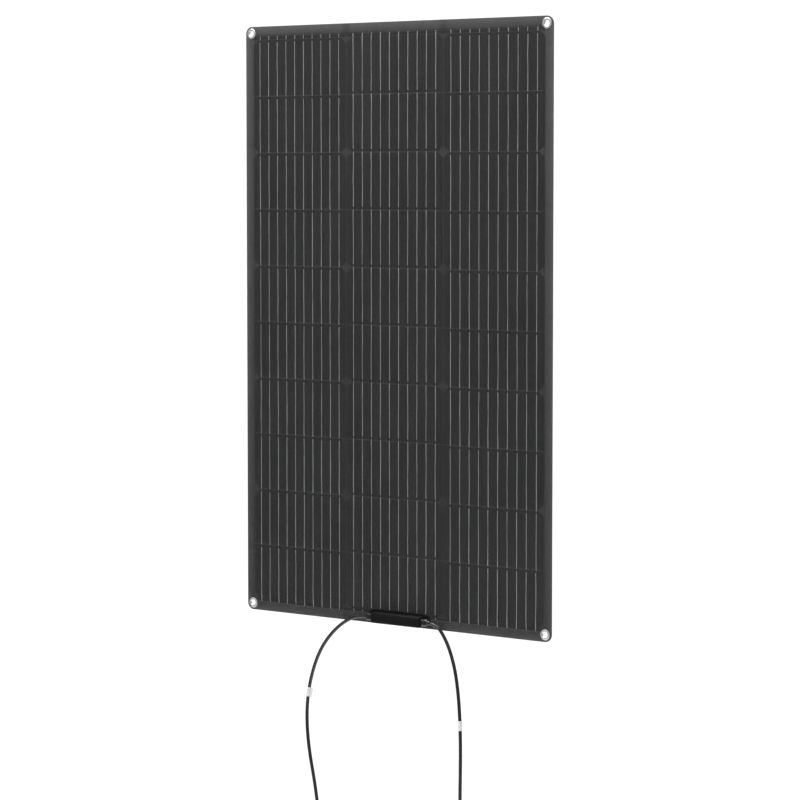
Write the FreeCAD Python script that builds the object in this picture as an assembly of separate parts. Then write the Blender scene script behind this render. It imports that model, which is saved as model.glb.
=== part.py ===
"""Flexible solar sheet: a black laminate of half-cut cells that hangs from corner eyelets.

Millimetres. X runs across the sheet, Z up the sheet, and the cells face -Y. The origin is the
middle of the two top eyelets, on the plane that their rear washers bear on.

The laminate bends at four lines between cell rows. Each band between two lines is rigid and
holds two cell rows, so every layer of the laminate is cut at those lines by a narrow slit.
"""
import FreeCAD, Part
import math
import os

# ---- Driving dimensions ----
sheet_width = 602.0
sheet_height = 970.0
sheet_corner_radius = 12.0
core_side_inset = 14.5
core_end_inset = 17.0

column_count = 3
row_count = 10
rows_per_band = 2
cell_width = 189.0
cell_height = 91.0
cell_chamfer = 8.6
row_gap = 2.0
column_gap = 2.0
grid_shift = -1.5
bend_slit = 0.5

ribbon_count = 10
ribbon_pitch = 18.0
ribbon_width = 0.9
ribbon_thickness = 0.12
front_margin = 4.0
rear_margin = 4.0
step_clearance = 0.5
end_step_clearance = 0.1
bus_width = 4.5
bus_thickness = 0.16
top_bus_top = -5.8
bottom_bus_top = -939.3
bus_end_gap = 1.5

backsheet_thickness = 0.3
core_thickness = 0.8
rear_encapsulant = 0.45
cell_thickness = 0.2
front_encapsulant = 0.45
film_thickness = 0.3

eyelet_inset = 11.5
eyelet_hole_radius = 4.8
eyelet_wall = 0.5
eyelet_flange_radius = 8.5
eyelet_flange_thickness = 0.6
washer_thickness = 0.6
turning_gap = 0.05

box_middle_x = 11.0
box_middle_z = -948.0
box_length = 96.0
box_height = 17.0
box_wall = 1.5
box_corner_radius = 1.5
box_pad_thickness = 0.8
sealant_above = 4.0
sealant_below = 1.0
box_floor_thickness = 1.2
box_base_depth = 10.7
box_window_length = 71.0
box_window_height = 12.0
rail_thickness = 0.9
terminal_spacing = 30.0
terminal_thickness = 0.8
potting_cover = 4.0
lid_thickness = 1.5
lid_chamfer = 1.0

clamp_length = 16.5
clamp_height = 12.0
clamp_depth = 10.0
clamp_rounding = 2.0
bush_radius = 3.8
bush_inner_end = 3.0
bush_recess = 0.6

lead_diameter = 5.6
lead_clearance = 0.1
lead_y = -8.1
core_hole_radius = 1.6

# ---- Layer planes, from the rear washers forward ----
back_y = -washer_thickness
core_rear_y = back_y - backsheet_thickness
core_front_y = core_rear_y - core_thickness
cell_rear_y = core_front_y - rear_encapsulant
cell_front_y = cell_rear_y - cell_thickness
film_rear_y = cell_front_y - front_encapsulant
front_y = film_rear_y - film_thickness
middle_y = (back_y + front_y) / 2

# ---- Outline and grid ----
sheet_top = eyelet_inset
sheet_bottom = sheet_top - sheet_height
sheet_middle_z = (sheet_top + sheet_bottom) / 2
half_width = sheet_width / 2
row_pitch = cell_height + row_gap
column_pitch = cell_width + column_gap
band_count = row_count // rows_per_band
core_half_width = half_width - core_side_inset
core_top = sheet_top - core_end_inset
core_bottom = sheet_bottom + core_end_inset
eyelet_x = half_width - eyelet_inset
eyelet_heights = {"top": 0.0, "bottom": sheet_bottom + eyelet_inset}

# ---- Places along the bus ribbons, which lie behind the ribbons' ends ----
top_bus_z = (top_bus_top - bus_width, top_bus_top)
bottom_bus_z = (bottom_bus_top - bus_width, bottom_bus_top)
ribbon_top_end = top_bus_z[1] + 1.0
ribbon_bottom_end = bottom_bus_z[0] + 0.6
field_half_width = column_pitch + cell_width / 2
bus_half_width = field_half_width - 1.0
return_ribbon_x = -150.0
return_turn_z = (box_middle_z - 7.5, box_middle_z - 3.5)
terminal_x = [box_middle_x + step * terminal_spacing for step in (-1, 0, 1)]
tail_width = 4.0
tail_thickness = 0.3

# ---- Junction box planes ----
pad_front_y = front_y - box_pad_thickness
floor_front_y = pad_front_y - box_floor_thickness
rail_front_y = floor_front_y - rail_thickness
terminal_front_y = rail_front_y - terminal_thickness
lid_rear_y = pad_front_y - box_base_depth
lid_front_y = lid_rear_y - lid_thickness
box_x0 = box_middle_x - box_length / 2
box_x1 = box_middle_x + box_length / 2
box_z0 = box_middle_z - box_height / 2
box_z1 = box_middle_z + box_height / 2
window_x = (box_middle_x - box_window_length / 2, box_middle_x + box_window_length / 2)
window_z = (box_middle_z - box_window_height / 2, box_middle_z + box_window_height / 2)

# ---- Leads: each point is a corner of the route, rounded by arcs ----
left_lead_route = [
    (-44.0, -8.1, -948.0),
    (-70.0, -8.1, -948.0),
    (-102.0, -8.4, -964.5),
    (-130.0, -8.8, -991.0),
    (-150.0, -9.4, -1022.0),
    (-164.5, -9.8, -1063.0),
    (-171.5, -9.6, -1102.0),
    (-172.5, -9.0, -1143.0),
    (-167.5, -8.6, -1186.0),
    (-157.0, -8.2, -1235.0),
    (-149.5, -8.1, -1284.0),
    (-149.5, -8.1, -1338.0),
]
right_lead_route = [
    (66.0, -8.1, -948.0),
    (86.0, -8.1, -948.0),
    (103.0, -8.4, -967.0),
    (116.0, -8.9, -992.0),
    (126.8, -9.4, -1028.0),
    (133.2, -9.8, -1078.0),
    (135.2, -9.6, -1132.5),
    (134.6, -9.0, -1178.0),
    (133.6, -8.6, -1222.0),
    (133.4, -8.2, -1270.0),
    (133.0, -8.1, -1320.0),
    (133.0, -8.1, -1376.0),
]
label_length = 16.0
label_wall = 0.35
label_clearance = 0.25
left_label_run = 5
right_label_run = 5


def point(x, y, z):
    return FreeCAD.Vector(x, y, z)


def block(x_range, y_range, z_range):
    """A box between two values on each axis, given in either order."""
    low = [min(pair) for pair in (x_range, y_range, z_range)]
    size = [abs(pair[1] - pair[0]) for pair in (x_range, y_range, z_range)]
    return Part.makeBox(size[0], size[1], size[2], point(*low))


def centred(middle, size):
    return (middle - size / 2, middle + size / 2)


def plate(outline, rear, front):
    """An outline of (x, z) corners made solid between two planes across Y."""
    corners = [point(x, rear, z) for x, z in outline]
    face = Part.Face(Part.makePolygon(corners + corners[:1]))
    return face.extrude(point(0, front - rear, 0))


def rod(radius, start, end):
    """A cylinder from one point to another."""
    start = point(*start)
    direction = point(*end) - start
    return Part.makeCylinder(radius, direction.Length, start, direction)


def tube(outer, inner, start, end):
    return rod(outer, start, end).cut(rod(inner, start, end))


def save(node, solids):
    """Write one node: a single solid, or several separate ones as a group."""
    shape = solids[0] if len(solids) == 1 else Part.makeCompound(solids)
    shape.exportStep("parts/" + node + ".step")


# ---- Grid of cells ----
def column_x(column):
    return (column - 1) * column_pitch


def cell_top(row):
    middle = sheet_middle_z + grid_shift
    return middle + (row_count / 2 - row) * row_pitch - row_gap / 2


def bend_height(line):
    """Height of bend line 1 to 4: the middle of the gap between two bands."""
    return cell_top(line * rows_per_band) + row_gap / 2


def runs_up(column):
    """Ribbons climb from a cell's front to the rear of the next in the middle column only."""
    return column == 1


# ---- Bands of the laminate ----
def band_range(band, top, bottom):
    """Heights of one band of a layer whose full size runs from bottom to top."""
    if band > 0:
        top = bend_height(band) - bend_slit / 2
    if band < band_count - 1:
        bottom = bend_height(band + 1) + bend_slit / 2
    return (bottom, top)


def band_plate(band, rear, front):
    """One band of a full-size layer, with its rounded corners and eyelet holes."""
    z_range = band_range(band, sheet_top, sheet_bottom)
    solid = block((-half_width, half_width), (rear, front), z_range)
    for end, edge_z in (("top", sheet_top), ("bottom", sheet_bottom)):
        if edge_z not in z_range:
            continue
        corner_edges = [
            edge for edge in solid.Edges
            if abs(abs(edge.CenterOfMass.x) - half_width) < 0.01
            and abs(edge.CenterOfMass.z - edge_z) < 0.01
        ]
        solid = solid.makeFillet(sheet_corner_radius, corner_edges)
        hole = eyelet_hole_radius + eyelet_wall + turning_gap
        for x in (-eyelet_x, eyelet_x):
            z = eyelet_heights[end]
            solid = solid.cut(rod(hole, (x, rear + 1, z), (x, front - 1, z)))
    return solid


def cell(column, row):
    """A half wafer: two of its corners are cut, at the top in even rows, else at the bottom."""
    left = column_x(column) - cell_width / 2
    right = column_x(column) + cell_width / 2
    top = cell_top(row)
    bottom = top - cell_height
    cut_z, far_z = (top, bottom) if row % 2 == 0 else (bottom, top)
    inward = -cell_chamfer if row % 2 == 0 else cell_chamfer
    outline = [
        (left, far_z),
        (left, cut_z + inward),
        (left + cell_chamfer, cut_z),
        (right - cell_chamfer, cut_z),
        (right, cut_z + inward),
        (right, far_z),
    ]
    return plate(outline, cell_rear_y, cell_front_y)


# ---- Ribbons that join the cells in series ----
front_ribbon_y = (cell_front_y - ribbon_thickness, cell_front_y)
rear_ribbon_y = (cell_rear_y, cell_rear_y + ribbon_thickness)


def ribbon_x(column, index):
    middle = column_x(column) + (index - (ribbon_count - 1) / 2) * ribbon_pitch
    return centred(middle, ribbon_width)


def stepped_ribbon(x_range, front_end, gap_near, gap_far, rear_end):
    """A ribbon on a cell's front that steps back over the cell's edge into the rear plane."""
    front = block(x_range, front_ribbon_y, (front_end, gap_far))
    through = block(x_range, (front_ribbon_y[0], rear_ribbon_y[1]), (gap_near, gap_far))
    rear = block(x_range, rear_ribbon_y, (gap_near, rear_end))
    return front.fuse([through, rear]).removeSplitter()


def rising_ribbons(band, x_range):
    """Front of the lower cell to the rear of the upper one, and the ends that bands share."""
    upper_top, lower_top = row_tops(band)
    upper_bottom = upper_top - cell_height
    lower_bottom = lower_top - cell_height
    joint = stepped_ribbon(x_range, lower_bottom + front_margin, lower_top + step_clearance,
                           upper_bottom - step_clearance, upper_top - rear_margin)
    if band == 0:
        upper = stepped_ribbon(x_range, upper_bottom + front_margin,
                               upper_top + end_step_clearance, upper_top + step_clearance,
                               ribbon_top_end)
    else:
        upper = block(x_range, front_ribbon_y, (upper_bottom + front_margin, upper_top))
    last = band == band_count - 1
    lower_end = ribbon_bottom_end if last else lower_bottom
    lower = block(x_range, rear_ribbon_y, (lower_end, lower_top - rear_margin))
    return [joint, upper, lower]


def falling_ribbons(band, x_range):
    """Front of the upper cell to the rear of the lower one, and the ends that bands share."""
    upper_top, lower_top = row_tops(band)
    upper_bottom = upper_top - cell_height
    lower_bottom = lower_top - cell_height
    joint = stepped_ribbon(x_range, upper_top - front_margin, upper_bottom - step_clearance,
                           lower_top + step_clearance, lower_bottom + rear_margin)
    if band == band_count - 1:
        lower = stepped_ribbon(x_range, lower_top - front_margin,
                               lower_bottom - end_step_clearance, lower_bottom - step_clearance,
                               ribbon_bottom_end)
    else:
        lower = block(x_range, front_ribbon_y, (lower_bottom, lower_top - front_margin))
    upper_end = ribbon_top_end if band == 0 else upper_top
    upper = block(x_range, rear_ribbon_y, (upper_bottom + rear_margin, upper_end))
    return [joint, upper, lower]


def row_tops(band):
    first_row = band * rows_per_band
    return cell_top(first_row), cell_top(first_row + 1)


def band_ribbons(band):
    """The ribbons on both rows of a band, in all three columns."""
    solids = []
    for column in range(column_count):
        make = rising_ribbons if runs_up(column) else falling_ribbons
        for index in range(ribbon_count):
            solids += make(band, ribbon_x(column, index))
    return solids


def return_ribbon(band):
    """The insulated ribbon behind the left column that brings its top end to the box."""
    x_range = centred(return_ribbon_x, tail_width)
    edge = bend_slit / 2 + 0.2
    top = top_bus_z[1] if band == 0 else bend_height(band) - edge
    bottom = return_turn_z[0] if band == band_count - 1 else bend_height(band + 1) + edge
    solid = block(x_range, return_ribbon_y, (bottom, top))
    if band == 0:
        solid = solid.fuse(block(x_range, (return_ribbon_y[0], bus_y[1]), top_bus_z))
    if band == band_count - 1:
        tail_x = centred(terminal_x[0], tail_width)
        along = block((x_range[0], tail_x[1]), return_ribbon_y, return_turn_z)
        to_terminal = (return_ribbon_y[1], rail_front_y)
        tail_z = (return_turn_z[1] - tail_thickness, return_turn_z[1])
        solid = solid.fuse([along, block(tail_x, to_terminal, tail_z)])
    return solid.removeSplitter()


# ---- Bus ribbons across the ends of the columns, in one plane behind the ribbons ----
bus_y = (rear_ribbon_y[1], rear_ribbon_y[1] + bus_thickness)
return_ribbon_y = (core_front_y - 0.01 - ribbon_thickness, core_front_y - 0.01)
column_edge = column_pitch / 2


def top_buses():
    """Left: joins column 1 to the return ribbon. Right: joins columns 2 and 3."""
    left = block((-bus_half_width, -column_edge - bus_end_gap), bus_y, top_bus_z)
    right = block((-column_edge + bus_end_gap, bus_half_width), bus_y, top_bus_z)
    return [left, right]


def terminal_tail(x, z):
    """A tab from a bus, forward to the rear of a terminal."""
    return block(centred(x, tail_width), (bus_y[1], rail_front_y), (z, z + tail_thickness))


def bottom_buses():
    """Left: joins columns 1 and 2, with a middle tap. Right: column 3 to the last terminal."""
    low = bottom_bus_z[0]
    left = block((-bus_half_width, column_edge - bus_end_gap), bus_y, bottom_bus_z)
    left = left.fuse(terminal_tail(terminal_x[1], low))
    right = block((column_edge + bus_end_gap, bus_half_width), bus_y, bottom_bus_z)
    under_z = (low - 1.0 - tail_width, low - 1.0)
    down_x = (column_edge + bus_end_gap, column_edge + bus_end_gap + tail_width)
    down = block(down_x, bus_y, (under_z[0], low))
    along = block((terminal_x[2] - tail_width / 2, down_x[1]), bus_y, under_z)
    right = right.fuse([down, along, terminal_tail(terminal_x[2], under_z[0])])
    return [left.removeSplitter(), right.removeSplitter()]


# ---- Junction box ----
def box_plate(inset, y_range):
    return block((box_x0 + inset, box_x1 - inset), y_range, (box_z0 + inset, box_z1 - inset))


def window_cutter(y_range):
    return block(window_x, y_range, window_z)


def adhesive_pad():
    """The sealant under the box, which is squeezed out above and below it."""
    y_range = (pad_front_y, front_y)
    z_range = (box_z0 - sealant_below, box_z1 + sealant_above)
    return block((box_x0, box_x1), y_range, z_range).cut(window_cutter(y_range))


def core_hole(end_x):
    """The hole in the box's end wall that a lead's conductor passes through."""
    start = (end_x - 3, lead_y, box_middle_z)
    return rod(core_hole_radius, start, (end_x + 3, lead_y, box_middle_z))


def box_base():
    shell = box_plate(0, (lid_rear_y, pad_front_y))
    upright = [edge for edge in shell.Edges if abs(edge.tangentAt(0).y) > 0.99]
    shell = shell.makeFillet(box_corner_radius, upright)
    shell = shell.cut(box_plate(box_wall, (lid_rear_y, floor_front_y)))
    shell = shell.cut(window_cutter((floor_front_y, pad_front_y)))
    inner_x = (box_x0 + box_wall, box_x1 - box_wall)
    for wall_z, rail_z in ((box_z0 + box_wall, window_z[0]), (box_z1 - box_wall, window_z[1])):
        shell = shell.fuse(block(inner_x, (floor_front_y, rail_front_y), (wall_z, rail_z)))
    for end_x in (box_x0, box_x1):
        shell = shell.cut(core_hole(end_x))
    return shell.removeSplitter()


def box_lid():
    cover = box_plate(0, (lid_rear_y, lid_front_y))
    upright = [edge for edge in cover.Edges if abs(edge.tangentAt(0).y) > 0.99]
    cover = cover.makeFillet(box_corner_radius, upright)
    rim = [
        edge for edge in cover.Edges
        if edge.BoundBox.YLength < 0.01 and abs(edge.BoundBox.YMin - lid_front_y) < 0.01
    ]
    cover = cover.makeChamfer(lid_chamfer, rim)
    lip_depth = 0.8
    lip_clearance = 0.1
    lip_range = (lid_rear_y, lid_rear_y + lip_depth)
    lip = box_plate(box_wall + lip_clearance, lip_range)
    lip = lip.cut(box_plate(box_wall + lip_clearance + 1.0, lip_range))
    return cover.fuse(lip)


def terminals():
    plate_z = centred(box_middle_z, box_height - 2 * box_wall - 1.0)
    plate_y = (rail_front_y, terminal_front_y)
    return [block(centred(x, 12.0), plate_y, plate_z) for x in terminal_x]


def bypass_diodes():
    """Two axial diodes, each lying between two terminals."""
    body_radius = 1.7
    wire_radius = 0.45
    y = terminal_front_y - body_radius - 0.05
    z = box_middle_z + 3.0
    solids = []
    for left_x, right_x in zip(terminal_x, terminal_x[1:]):
        middle = (left_x + right_x) / 2
        body = rod(body_radius, (middle - 4.5, y, z), (middle + 4.5, y, z))
        wire = rod(wire_radius, (left_x + 3.0, y, z), (right_x - 3.0, y, z))
        feet = [
            rod(wire_radius, (foot_x, y, z), (foot_x, terminal_front_y, z))
            for foot_x in (left_x + 3.0, right_x - 3.0)
        ]
        solids.append(body.fuse([wire] + feet))
    return solids


def conductor_ends():
    """The bare end of each lead, from inside its clamp to its terminal."""
    radius = terminal_front_y - lead_y
    left = rod(radius, (left_lead_route[0][0], lead_y, box_middle_z),
               (terminal_x[0] - 2.0, lead_y, box_middle_z))
    right = rod(radius, (right_lead_route[0][0], lead_y, box_middle_z),
                (terminal_x[2] + 2.0, lead_y, box_middle_z))
    return [left, right]


def potting(inner_pieces):
    """Sealing gel that fills the box up to just over the terminals."""
    depth_range = (floor_front_y, terminal_front_y - potting_cover)
    gel = box_plate(box_wall, depth_range)
    return gel.cut([box_base()] + inner_pieces)


def clamp_ends(side):
    """X of a clamp's inner and outer end, side -1 for the left lead and 1 for the right."""
    inner = box_x0 if side < 0 else box_x1
    return inner, inner + side * clamp_length


def cable_clamp(side):
    """The moulded clamp at one end of the box that holds a lead."""
    inner, outer = clamp_ends(side)
    solid = block((inner, outer), (front_y, front_y - clamp_depth),
                  centred(box_middle_z, clamp_height))
    long_edges = [
        edge for edge in solid.Edges
        if abs(edge.tangentAt(0).x) > 0.99 and edge.CenterOfMass.y < front_y - 1
    ]
    solid = solid.makeFillet(clamp_rounding, long_edges)
    bush_start = inner + side * bush_inner_end
    axis = ((bush_start, lead_y, box_middle_z), (outer, lead_y, box_middle_z))
    solid = solid.cut(rod(bush_radius, *axis))
    core_axis = ((inner, lead_y, box_middle_z), (bush_start, lead_y, box_middle_z))
    return solid.cut(rod(core_hole_radius, *core_axis))


def clamp_bush(side):
    inner, outer = clamp_ends(side)
    start = (inner + side * bush_inner_end, lead_y, box_middle_z)
    end = (outer - side * bush_recess, lead_y, box_middle_z)
    return tube(bush_radius, lead_diameter / 2 + lead_clearance, start, end)


# ---- Leads ----
def rounded_route(corners, share=0.45):
    """Straight runs joined by tangent arcs. Returns the wire and the arc radii."""
    spots = [point(*corner) for corner in corners]
    edges = []
    radii = []
    start = spots[0]
    for before, corner, after in zip(spots, spots[1:], spots[2:]):
        inward = before - corner
        outward = after - corner
        reach = share * min(inward.Length, outward.Length)
        turn = math.pi - inward.getAngle(outward)
        inward.normalize()
        outward.normalize()
        radius = reach / math.tan(turn / 2)
        arc_start = corner + inward * reach
        arc_end = corner + outward * reach
        halfway = inward + outward
        halfway.normalize()
        middle = corner + halfway * (math.hypot(reach, radius) - radius)
        edges.append(Part.LineSegment(start, arc_start).toShape())
        edges.append(Part.Arc(arc_start, middle, arc_end).toShape())
        radii.append(radius)
        start = arc_end
    edges.append(Part.LineSegment(start, spots[-1]).toShape())
    return Part.Wire(edges), radii


def lead(name, corners):
    """A lead's jacket, swept along its rounded route."""
    path, radii = rounded_route(corners)
    direction = point(*corners[1]) - point(*corners[0])
    section = Part.Wire(Part.makeCircle(lead_diameter / 2, point(*corners[0]), direction))
    solid = path.makePipeShell([section], True, False)
    expected = math.pi * (lead_diameter / 2) ** 2 * path.Length
    print(name, "length", round(path.Length, 1), "volume over section x length",
          round(solid.Volume / expected, 4), "radii", [round(radius) for radius in radii])
    return solid


def label_axis(corners, run):
    """The two ends of a label that sits at the middle of one run of a lead."""
    start = point(*corners[run])
    end = point(*corners[run + 1])
    along = end - start
    along.normalize()
    middle = (start + end) * 0.5
    return middle - along * (label_length / 2), middle + along * (label_length / 2)


def label_sleeve(corners, run):
    start, end = label_axis(corners, run)
    inner = lead_diameter / 2 + label_clearance
    return tube(inner + label_wall, inner, tuple(start), tuple(end))


def flag_label(corners, run):
    """A label folded round the lead whose two ends stand out as a flag on the right."""
    start, end = label_axis(corners, run)
    flag_reach = 8.0
    inner = lead_diameter / 2 + label_clearance
    flag = block((0, flag_reach), centred(0, 0.6), (0, label_length))
    upright = FreeCAD.Rotation(point(0, 0, 1), start - end)
    flag.Placement = FreeCAD.Placement(end, upright)
    sleeve = label_sleeve(corners, run)
    bore = rod(inner, tuple(start + (start - end)), tuple(end - (start - end)))
    return sleeve.fuse(flag.cut(bore))


# ---- Connectors at the leads' ends ----
nut_radius = 7.5
nut_length = 16.0
neck_radius = 5.0
shell_radius = 7.0
seal_end = 13.0
contact_start = 20.0
shoulder_end = 26.0
shell_end = 50.0


def connector_axis(corners):
    """Distance along a connector is measured down from its nut's top."""
    x, y, end_z = corners[-1]
    top_z = end_z + seal_end

    def spot(distance):
        return (x, y, top_z - distance)

    return spot


def hexagon_nut(corners):
    spot = connector_axis(corners)
    x, y, top_z = spot(0)
    corner_points = [
        point(x + nut_radius * math.cos(math.radians(60 * i)),
              y + nut_radius * math.sin(math.radians(60 * i)), top_z)
        for i in range(7)
    ]
    nut = Part.Face(Part.makePolygon(corner_points)).extrude(point(0, 0, -nut_length))
    nut = nut.common(rod(nut_radius - 0.4, spot(0), spot(nut_length)))
    nut = nut.cut(rod(lead_diameter / 2 + lead_clearance, spot(-1), spot(nut_length)))
    return nut.cut(rod(neck_radius + 0.1, spot(3.0), spot(nut_length + 1)))


def cable_seal(corners):
    spot = connector_axis(corners)
    return tube(neck_radius - 1.0, lead_diameter / 2 + lead_clearance, spot(4.0), spot(seal_end))


def connector_shell(corners):
    """Neck under the nut and the body behind the mating end, bored for seal and contact."""
    spot = connector_axis(corners)
    neck = rod(neck_radius, spot(4.0), spot(nut_length + 2))
    body = rod(shell_radius, spot(nut_length + 2), spot(shoulder_end))
    shell = neck.fuse(body)
    shell = shell.cut(rod(neck_radius - 1.0 + turning_gap, spot(3.0), spot(seal_end)))
    return shell.cut(rod(2.3, spot(seal_end - 1), spot(shoulder_end + 1)))


def plug_body(corners):
    """The half with a pin inside a sleeve and two latch arms."""
    spot = connector_axis(corners)
    x, y, z = spot(shell_end + 4.0)
    sleeve = tube(shell_radius, 4.8, spot(shoulder_end - 1), spot(shell_end))
    body = connector_shell(corners).fuse(sleeve)
    for side in (-1, 1):
        arm_x = (x + side * (shell_radius - 0.5), x + side * (shell_radius + 2.0))
        root_z = spot(shoulder_end - 4)[2]
        arm = block(arm_x, centred(y, 5.0), (z, root_z))
        body = body.fuse(arm)
    return body.removeSplitter()


def socket_body(corners):
    """The half with a nose that goes into the plug's sleeve, and rails that its arms grip."""
    spot = connector_axis(corners)
    x, y, z = spot(shell_end - 12.0)
    nose = tube(4.5, 2.7, spot(shoulder_end - 1), spot(shell_end))
    body = connector_shell(corners).fuse(nose)
    for side in (-1, 1):
        rail_x = (x + side * 5.2, x + side * (shell_radius + 1.0))
        rail = block(rail_x, centred(y, 6.0), (z, spot(shoulder_end - 2)[2]))
        body = body.fuse(rail)
    return body.removeSplitter()


def pin_contact(corners):
    spot = connector_axis(corners)
    barrel = rod(2.2, spot(seal_end), spot(shoulder_end))
    pin = rod(2.0, spot(shoulder_end), spot(shell_end - 4))
    return barrel.fuse(pin).removeSplitter()


def socket_contact(corners):
    spot = connector_axis(corners)
    barrel = rod(2.2, spot(seal_end), spot(shoulder_end))
    spring = tube(2.6, 2.05, spot(shoulder_end), spot(shell_end - 2))
    return barrel.fuse(spring)


# ---- Build and write every node ----
def write_bands():
    """Cells, ribbons and laminate layers, with pockets in the encapsulant for what it holds."""
    for band in range(band_count):
        number = str(band + 1)
        rows = range(band * rows_per_band, (band + 1) * rows_per_band)
        cells = [cell(column, row) for row in rows for column in range(column_count)]
        ribbons = band_ribbons(band) + [return_ribbon(band)]
        core = block((-core_half_width, core_half_width), (core_rear_y, core_front_y),
                     band_range(band, core_top, core_bottom))
        film = band_plate(band, film_rear_y, front_y)
        held = cells + ribbons + [core]
        if band == 0:
            held += top_buses()
        if band == band_count - 1:
            held += bottom_buses()
            film = film.cut(bottom_buses() + [return_ribbon(band)])
        encapsulant = band_plate(band, core_rear_y, film_rear_y).cut(held)
        save("front_film_" + number, [film])
        save("encapsulant_" + number, [encapsulant])
        save("solar_cells_" + number, cells)
        save("cell_ribbons_" + number, ribbons)
        save("core_board_" + number, [core])
        save("backsheet_" + number, [band_plate(band, back_y, core_rear_y)])


def write_eyelets():
    for end, z in eyelet_heights.items():
        eyelets = []
        washers = []
        for x in (-eyelet_x, eyelet_x):
            flange_y = front_y - eyelet_flange_thickness
            flange = tube(eyelet_flange_radius, eyelet_hole_radius, (x, flange_y, z), (x, front_y, z))
            barrel_radius = eyelet_hole_radius + eyelet_wall
            barrel = tube(barrel_radius, eyelet_hole_radius, (x, front_y, z), (x, 0, z))
            eyelets.append(flange.fuse(barrel).removeSplitter())
            hole = barrel_radius + turning_gap
            washers.append(tube(eyelet_flange_radius, hole, (x, back_y, z), (x, 0, z)))
        save(end + "_eyelets", eyelets)
        save(end + "_washers", washers)


def write_box():
    tails = bottom_buses() + [return_ribbon(band_count - 1)]
    held = terminals() + bypass_diodes() + conductor_ends() + tails
    save("top_bus_ribbons", top_buses())
    save("bottom_bus_ribbons", bottom_buses())
    save("box_adhesive", [adhesive_pad()])
    save("box_base", [box_base()])
    save("box_lid", [box_lid()])
    save("box_potting", [potting(held)])
    save("box_terminals", terminals())
    save("bypass_diodes", bypass_diodes())
    save("conductor_ends", conductor_ends())
    save("cable_clamp_left", [cable_clamp(-1)])
    save("cable_clamp_right", [cable_clamp(1)])
    save("clamp_bushes", [clamp_bush(-1), clamp_bush(1)])


def write_leads():
    save("lead_left", [lead("left lead", left_lead_route)])
    save("lead_right", [lead("right lead", right_lead_route)])
    save("label_left", [flag_label(left_lead_route, left_label_run)])
    save("label_right", [label_sleeve(right_lead_route, right_label_run)])
    save("plug_body", [plug_body(left_lead_route)])
    save("plug_contact", [pin_contact(left_lead_route)])
    save("socket_body", [socket_body(right_lead_route)])
    save("socket_contact", [socket_contact(right_lead_route)])
    for half, route in (("plug", left_lead_route), ("socket", right_lead_route)):
        save(half + "_nut", [hexagon_nut(route)])
        save(half + "_seal", [cable_seal(route)])


os.makedirs("parts", exist_ok=True)
write_bands()
write_eyelets()
write_box()
write_leads()
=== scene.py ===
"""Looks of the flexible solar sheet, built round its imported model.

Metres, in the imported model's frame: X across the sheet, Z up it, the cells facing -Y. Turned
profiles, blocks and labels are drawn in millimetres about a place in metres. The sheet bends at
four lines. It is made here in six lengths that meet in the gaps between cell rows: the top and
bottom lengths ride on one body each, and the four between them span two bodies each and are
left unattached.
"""

import math
import random

import bmesh
import bpy
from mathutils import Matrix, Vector
from mathutils.geometry import delaunay_2d_cdt


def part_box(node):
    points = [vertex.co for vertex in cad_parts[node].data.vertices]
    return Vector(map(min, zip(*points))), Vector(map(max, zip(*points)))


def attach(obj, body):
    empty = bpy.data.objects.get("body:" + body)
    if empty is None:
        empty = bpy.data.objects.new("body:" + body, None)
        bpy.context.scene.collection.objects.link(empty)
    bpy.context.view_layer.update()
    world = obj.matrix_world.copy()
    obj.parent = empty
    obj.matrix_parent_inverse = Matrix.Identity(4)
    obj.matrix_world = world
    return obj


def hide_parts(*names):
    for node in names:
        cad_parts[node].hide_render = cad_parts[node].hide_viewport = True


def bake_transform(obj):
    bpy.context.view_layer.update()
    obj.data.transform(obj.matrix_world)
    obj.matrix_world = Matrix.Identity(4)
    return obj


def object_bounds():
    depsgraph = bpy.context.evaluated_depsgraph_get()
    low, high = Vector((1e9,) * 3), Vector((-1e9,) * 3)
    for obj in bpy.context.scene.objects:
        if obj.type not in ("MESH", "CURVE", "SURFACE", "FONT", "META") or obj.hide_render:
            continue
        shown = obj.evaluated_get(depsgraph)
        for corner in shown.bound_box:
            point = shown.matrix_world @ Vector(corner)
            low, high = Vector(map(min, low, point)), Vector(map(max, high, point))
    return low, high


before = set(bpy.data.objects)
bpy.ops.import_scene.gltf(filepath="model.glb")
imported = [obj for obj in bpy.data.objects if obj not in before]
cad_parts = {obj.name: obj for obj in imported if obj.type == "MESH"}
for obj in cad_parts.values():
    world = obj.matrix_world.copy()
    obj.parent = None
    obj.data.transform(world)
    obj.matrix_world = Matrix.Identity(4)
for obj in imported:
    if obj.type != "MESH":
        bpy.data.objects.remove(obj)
cad_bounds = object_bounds()

scene = bpy.context.scene
scene.view_settings.view_transform = "Standard"
mm = 0.001


# ---- Camera ----
def add_camera():
    """The viewer stands to the front right and looks slightly down."""
    azimuth = math.radians(35.52)
    elevation = math.radians(3.734)
    back = Vector((
        math.sin(azimuth) * math.cos(elevation),
        -math.cos(azimuth) * math.cos(elevation),
        math.sin(elevation),
    ))
    data = bpy.data.cameras.new("camera")
    data.sensor_width = 36.0
    data.lens = 127.05
    data.shift_y = -0.05
    camera = bpy.data.objects.new("camera", data)
    camera.location = (2.637, -3.680, -0.234)
    camera.rotation_mode = "QUATERNION"
    camera.rotation_quaternion = (-back).to_track_quat("-Z", "Y")
    scene.collection.objects.link(camera)
    scene.camera = camera


add_camera()

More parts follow.
